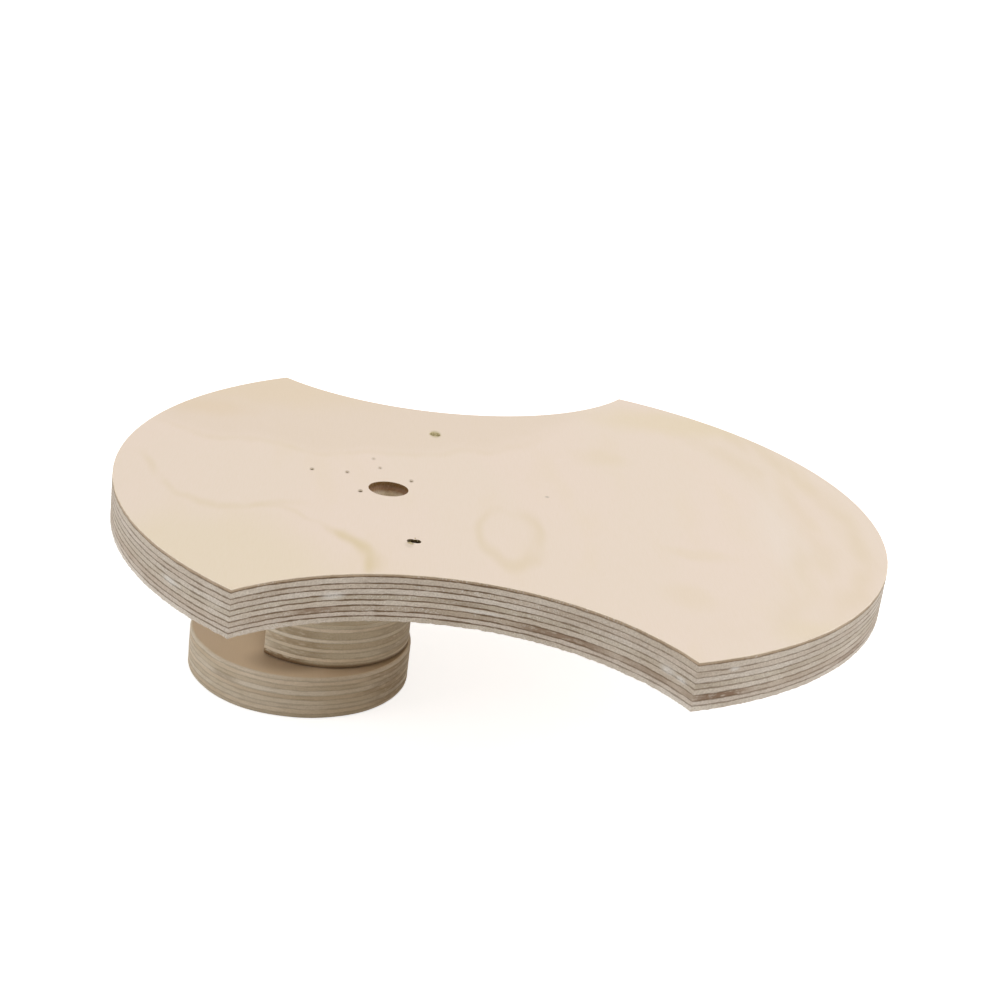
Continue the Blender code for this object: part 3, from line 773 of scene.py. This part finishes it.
def add_strand(bm, root, heading, lift, length, width):
    """One torn fibre: a three-sided sliver that tapers and curls down to a closed tip."""
    across = Vector((-math.sin(heading), math.cos(heading), 0.0))

    def middle_at(along):
        return Vector(root) + Vector((math.cos(heading) * along, math.sin(heading) * along,
                                      lift * along - 0.16 * along ** 2))
    rings = []
    for share in (0.0, 0.4, 0.75):
        middle = middle_at(length * share)
        half = width / 2 * (1 - 0.6 * share)
        rings.append(add_row(bm, [middle + across * half, middle - across * half,
                                  middle + Vector((0.0, 0.0, half))]))
    tip = add_row(bm, [middle_at(length)])[0]
    for near, far in zip(rings, rings[1:]):
        for i in range(3):
            k = (i + 1) % 3
            bm.faces.new((near[i], near[k], far[k], far[i]))
    for i in range(3):
        bm.faces.new((rings[-1][i], rings[-1][(i + 1) % 3], tip))
    bm.faces.new(reversed(rings[0]))


def make_object(name, bm, materials):
    """An object of the scene, with the mesh that was built and its materials."""
    mesh = bpy.data.meshes.new(name)
    bm.to_mesh(mesh)
    bm.free()
    for material in materials:
        mesh.materials.append(material)
    thing = bpy.data.objects.new(name, mesh)
    bpy.context.scene.collection.objects.link(thing)
    return thing


def finish_piece(name, bm, materials, replaced):
    """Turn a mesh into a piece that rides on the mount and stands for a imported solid."""
    piece = make_object(name, bm, materials)
    # Marking the sharp edges makes every face smooth, so the flat ones are set flat again
    curved = [face.use_smooth for face in piece.data.polygons]
    piece.data.set_sharp_from_angle(angle=CRISP_ANGLE)
    piece.data.polygons.foreach_set("use_smooth", curved)
    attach(piece, "root")
    if replaced:
        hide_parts(*replaced)


def middle_of(name):
    """The (x, y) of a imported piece's middle, in millimetres."""
    low, high = node_box(name)
    return ((low.x + high.x) / 2, (low.y + high.y) / 2)


def wall_screw_places():
    """The two wall screws' holes, the back one first."""
    half = WALL_SCREW_SPACING / 2
    return [(WALL_SCREW_X + side * half * math.sin(WALL_SCREW_SLANT),
             side * half * math.cos(WALL_SCREW_SLANT)) for side in (1, -1)]


def sawn_relief(levels, chip):
    """Roughness of the sawn plate edge: end grain is torn, glue lines lie low, and the lower
    arris is splintered by the bit that cut the outline."""
    bottom = levels[-1]

    def place(point, normal, level, glue):
        ply = sum(1 for mark in levels[1:-1] if level < mark)
        across = normal.y ** 2 if ply % 2 == 0 else normal.x ** 2
        at = Vector((point.x, point.y, level))
        coarse = noise.noise(at * 0.35)
        fine = noise.noise(at * 1.3 + Vector((40, 0, 0)))
        inset = 0.02 + 0.05 * coarse + (0.02 + 0.06 * across) * fine + 0.10 * glue
        moved = point - normal * inset
        nearness = max(0.0, 1.0 - (level - bottom) / 0.9)
        ragged = noise.noise((point.x * 0.45, point.y * 0.45, 9.0)) + 0.6 * noise.noise(
            (point.x * 1.6, point.y * 1.6, 4.0))
        level -= chip * nearness * ragged
        moved -= normal * (chip * 0.6 * nearness * noise.noise((point.x * 0.9, point.y * 0.9, 15.0)))
        return (moved.x, moved.y, level)
    return place


def sanded_relief(ripple, unevenness):
    """A hand-sanded edge: slightly uneven, with the glue lines standing a hair below."""

    def place(point, normal, level, glue):
        at = Vector((point.x, point.y, level * 0.4))
        inset = unevenness * noise.noise(at * 0.06) + ripple * noise.noise(at * 0.6) + 0.03 * glue
        moved = point - normal * inset
        return (moved.x, moved.y, level)
    return place


def make_plate():
    """The plate, from its outline, with its six brad holes, recess and wall-screw holes."""
    low, high = node_box("back_plate")
    radius, top, bottom = high.x, high.z, low.z
    levels = ply_levels(top, bottom, PLATE_PLIES)
    bm = bmesh.new()
    rows = edge_levels(levels, PLATE_ARRIS, PLATE_ARRIS)
    rims = add_edge(bm, plate_outline(radius), rows, sawn_relief(levels, SPLINTER_DEPTH))
    rim, floor = RECESS_RADIUS, top - RECESS_DEPTH
    profile = [(rim + 0.25, top), (rim + 0.08, top - 0.1), (rim, top - 0.3)]
    profile += [(rim, top - 1.2 * number) for number in range(1, 9)]
    profile += [(rim, floor), (SHANK_HOLE_RADIUS, floor), (SHANK_HOLE_RADIUS, bottom)]
    add_hole(bm, rims, middle_of("neck_screw"), profile, RECESS_SIDES, HOLES, wobble=0.012, seed=3.0)
    for slot, place, hole in zip((STUFFED_HOLE, DRIVEN_HOLE), wall_screw_places(), WALL_SCREW_HOLES):
        rim, flare = hole["radius"], hole["flare"]
        profile = [(rim + flare, top), (rim + 0.3 * flare, top - 0.25), (rim, top - 0.8),
                   (rim, top - 4.0), (rim, bottom + SINK_DEPTH), (SINK_RADIUS, bottom)]
        add_hole(bm, rims, place, profile, WALL_SCREW_HOLE_SIDES, slot, **hole["shape"])
    brads = [middle_of(brad) for brad in PLATE_BRADS]
    for number, (place, mouth) in enumerate(zip(brads, BRAD_MOUTHS)):
        profile = [(mouth + 0.28, top), (mouth + 0.06, top - 0.15), (mouth, top - 0.3),
                   (BRAD_HOLE_RADIUS, top - 0.6), (BRAD_HOLE_RADIUS, bottom)]
        add_hole(bm, rims, place, profile, BRAD_HOLE_SIDES, BRAD_HOLES, wobble=0.10, seed=51.0 + number)
    add_face(bm, rims[0], True, FACE)
    add_face(bm, rims[1], False, ROOM_FACE)
    worn = [(place, BRUISE_RADII, BRUISED_WOOD, strength) for place, strength in zip(brads, BRAD_BRUISES)]
    worn.append(PITH_FLECK)
    for hole, (off, radii, colour, strength) in zip(wall_screw_places(), SCREW_SCUFFS):
        worn.append(((hole[0] + off[0], hole[1] + off[1]), radii, colour, strength))
    finish_piece("waisted_plate", bm, [
        birch_face_veneer("birch_veneer_sanded", PALE_BIRCH, WALL_FACE_FIGURE, WALL_FACE_SHADES, worn),
        ply_edge("birch_ply_sawn_edge", levels, SAWN_EDGE),
        # The recess wall grows paler with depth: painted light
        drilled_wall("drilled_birch_ply_painted_light", top, RECESS_WALL_AND_PAINTED_LIGHT),
        drilled_wall("fibre_stuffed_birch", top, STUFFED_WALL),
        drilled_wall("bruised_birch", top, BRAD_WALL),
        birch_face_veneer("birch_veneer_room_face", PALE_BIRCH, ROOM_FACE_FIGURE),
        drilled_wall("screw_worn_birch", top, DRIVEN_WALL)], ["back_plate"])


def make_torn_fibres():
    """Fibres that the wall screws tore loose: they fill the back hole and stand out of the front
    one towards the near side."""
    top = node_box("back_plate")[1].z
    places = wall_screw_places()
    chance = random.Random(7)
    bm = bmesh.new()
    for tuft in TUFTS:
        centre = places[tuft["hole"]]
        for _ in range(tuft["strands"]):
            heading = tuft["heading"] + chance.uniform(-1, 1) * tuft["spread"]
            # A root on the far side of the middle points across the hole
            out = chance.uniform(*tuft["out"])
            root = (centre[0] + out * math.cos(heading), centre[1] + out * math.sin(heading),
                    top - tuft["depth"] * chance.uniform(0.3, 1.6))
            bend = heading + chance.uniform(-0.6, 0.6)
            add_strand(bm, root, bend, chance.uniform(0.05, 0.35), chance.uniform(1.2, 3.0),
                       chance.uniform(0.25, 0.55))
    fibres = torn_fibre_wood("torn_birch_fibre", "#d2c49e", "#a8996c")
    finish_piece("torn_screw_fibres", bm, [fibres], [])


def make_neck():
    """Three glued layers, each a little proud of its solid so that the joints close."""
    veneer = birch_face_veneer("neck_birch_face", WARM_BIRCH)
    layers = (("neck_layer_wall", NECK_WALL_PLIES, NECK_ARRIS, NECK_EDGE),
              ("neck_layer_middle", NECK_PLIES, NECK_ARRIS, NECK_EDGE),
              ("neck_layer_lip", NECK_PLIES, NECK_FOOT_ARRIS, NECK_FOOT_EDGE))
    holes = [(brad, HIDDEN_BRAD_HOLE_RADIUS, 12) for brad in PLATE_BRADS + LIP_BRADS]
    holes.append(("neck_screw", SHANK_HOLE_RADIUS, 20))
    relief = sanded_relief(SANDING_RIPPLE, NECK_UNEVENNESS)
    for node, plies, foot, look in layers:
        low, high = node_box(node)
        top, bottom = high.z + JOINT_TAKE_UP, low.z - JOINT_TAKE_UP
        levels = ply_levels(top, bottom, plies)
        bm = bmesh.new()
        rows = edge_levels(levels, NECK_ARRIS, foot, 2)
        rims = add_edge(bm, neck_outline(low, high), rows, relief)
        for name, radius, sides in holes:
            add_hole(bm, rims, middle_of(name), [(radius, top), (radius, bottom)], sides, EDGE)
        add_face(bm, rims[0], True, FACE)
        add_face(bm, rims[1], False, FACE)
        edge = ply_edge(f"sanded_birch_ply_{node}", levels, look)
        finish_piece(node + "_ply", bm, [veneer, edge], [node])


def make_lip_disc():
    """The disc, its arrises sanded round by hand."""
    low, high = node_box("lip_disc")
    radius, top, bottom = (high.y - low.y) / 2, high.z, low.z
    levels = ply_levels(top, bottom, DISC_PLIES)
    bm = bmesh.new()
    rows = edge_levels(levels, LIP_ARRIS * 0.6, LIP_ARRIS, 2)
    relief = sanded_relief(SANDING_RIPPLE, DISC_UNEVENNESS)
    rims = add_edge(bm, arc(middle_of("lip_disc"), radius, 0.0, math.tau), rows, relief)
    rim = BRAD_HOLE_RADIUS
    profile = [(rim, top), (rim, bottom + 0.5), (rim + 0.08, bottom + 0.22), (rim + 0.35, bottom)]
    for number, brad in enumerate(LIP_BRADS):
        add_hole(bm, rims, middle_of(brad), profile, BRAD_HOLE_SIDES, HOLES,
                 wobble=0.10, seed=71.0 + number)
    add_face(bm, rims[0], True, FACE)
    add_face(bm, rims[1], False, FACE)
    finish_piece("lip_disc_ply", bm, [
        birch_face_veneer("disc_birch_face", WARM_BIRCH, bruises_and_shade=DISC_FACE_PAINTED_SHADE),
        ply_edge("sanded_birch_ply_disc", levels, DISC_EDGE),
        drilled_wall("disc_brad_holes", bottom + DISC_BRAD_WALL[-1][0], DISC_BRAD_WALL)],
        ["lip_disc"])


def dress_metal():
    """The brads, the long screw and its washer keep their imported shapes."""
    brad = drawn_steel("brad_wire_steel", "#8b8880", "#55524c", 0.42, 0.6)
    zinc = drawn_steel("zinc_plated_screw", "#cdc8b8", "#a39a82", 0.33, 1.2)
    for name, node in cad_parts.items():
        if "brad" in name or "screw" in name:
            node.data.materials.clear()
            node.data.materials.append(brad if "brad" in name else zinc)


# Room

def make_floor():
    """A wide pale floor under the disc, a hair lower than its face."""
    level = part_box("lip_disc")[0].z - FLOOR_GAP * MM
    bm = bmesh.new()
    bmesh.ops.create_grid(
        bm, x_segments=1, y_segments=1, size=FLOOR_HALF_WIDTH, matrix=Matrix.Translation((0, 0, level)))
    floor = make_object("studio_floor", bm, [pale_floor("pale_studio_floor")])


def make_light():
    """Soft light from above and all round, as in a light tent."""
    world = bpy.data.worlds.new("soft_room")
    bpy.context.scene.world = world
    world.use_nodes = True
    tree = world.node_tree
    background = tree.nodes["Background"]
    # Warm light on the mount, but plain white where the room itself is seen
    seen = seen_directly(tree)
    colour = add_node(tree, "ShaderNodeMix", {
        0: seen, 6: ROOM_COLOUR, 7: WHITE}, data_type="RGBA").outputs[2]
    tree.links.new(colour, background.inputs["Color"])
    strength = add_node(tree, "ShaderNodeMix", {0: seen, 2: ROOM_STRENGTH, 3: 1.0}).outputs[0]
    tree.links.new(strength, background.inputs["Strength"])
    for name, place, size, power, colour in LAMPS:
        lamp = bpy.data.lights.new(name, "AREA")
        lamp.shape = "SQUARE"
        lamp.size = size
        lamp.energy = power
        lamp.color = linear(colour)[:3]
        thing = bpy.data.objects.new(name, lamp)
        thing.location = place
        thing.rotation_euler = (Vector((0, 0, 0)) - Vector(place)).to_track_quat("-Z", "Y").to_euler()
        bpy.context.scene.collection.objects.link(thing)


def make_camera():
    """The photograph's view: from the front, 21 degrees above, turned a little clockwise."""
    lens = bpy.data.cameras.new("photo_view")
    lens.sensor_width = 36.0
    lens.lens = CAMERA_LENS
    lens.clip_start = 0.01
    lens.clip_end = 60.0
    camera = bpy.data.objects.new("photo_view", lens)
    camera.location = Vector(CAMERA_PLACE) * MM
    camera.rotation_euler = [math.radians(turn) for turn in CAMERA_TURN]
    bpy.context.scene.collection.objects.link(camera)
    bpy.context.scene.camera = camera


make_camera()
make_plate()
make_torn_fibres()
make_neck()
make_lip_disc()
dress_metal()
make_floor()
make_light()
bpy.context.scene.view_settings.view_transform = "Standard"
